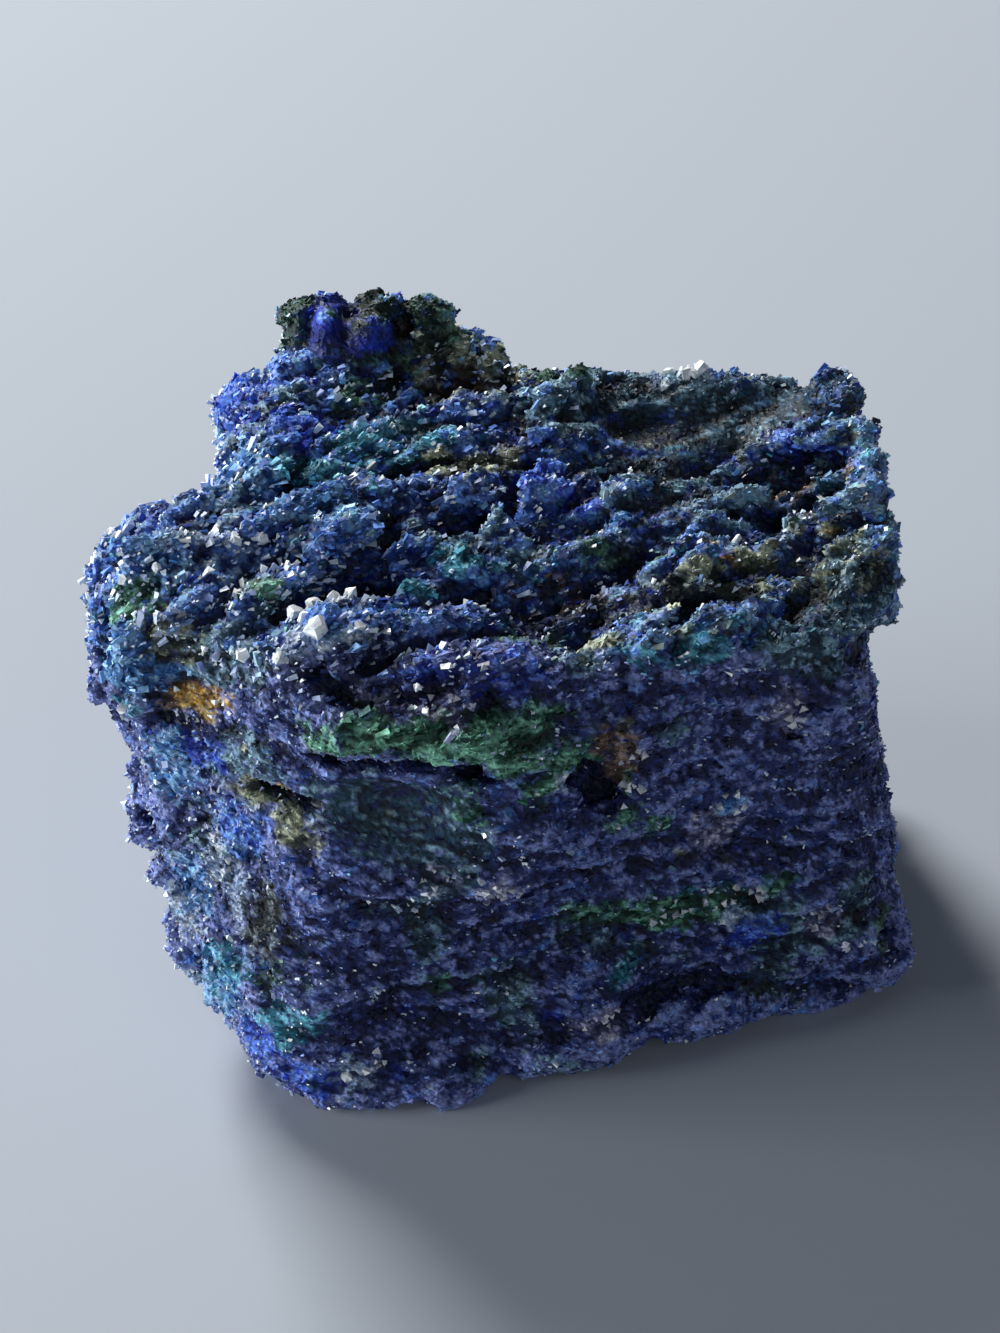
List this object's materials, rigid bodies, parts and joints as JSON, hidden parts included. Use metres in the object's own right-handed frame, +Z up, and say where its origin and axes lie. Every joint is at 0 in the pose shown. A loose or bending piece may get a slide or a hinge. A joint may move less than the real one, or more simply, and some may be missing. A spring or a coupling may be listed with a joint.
{
  "type": "azurite specimen",
  "caption": "Rough block of massive azurite with green malachite patches, a sloping ledged top, a steep flat front and a flat face to rest on.",
  "frame": {"origin": "on the flat resting face, under the middle of the specimen's bounding box", "axes": "+Z up, the steep flat front faces -Y, the horn at the back left is towards -X and +Y"},
  "size_m": [0.0712, 0.054, 0.0518],
  "materials": {
    "azurite": "satin",
    "malachite": "satin",
    "pale_crystal": "satin",
    "limonite": "matte"
  },
  "bodies": {
    "root": {"azurite_specimen": "azurite"}
  },
  "joints": []
}
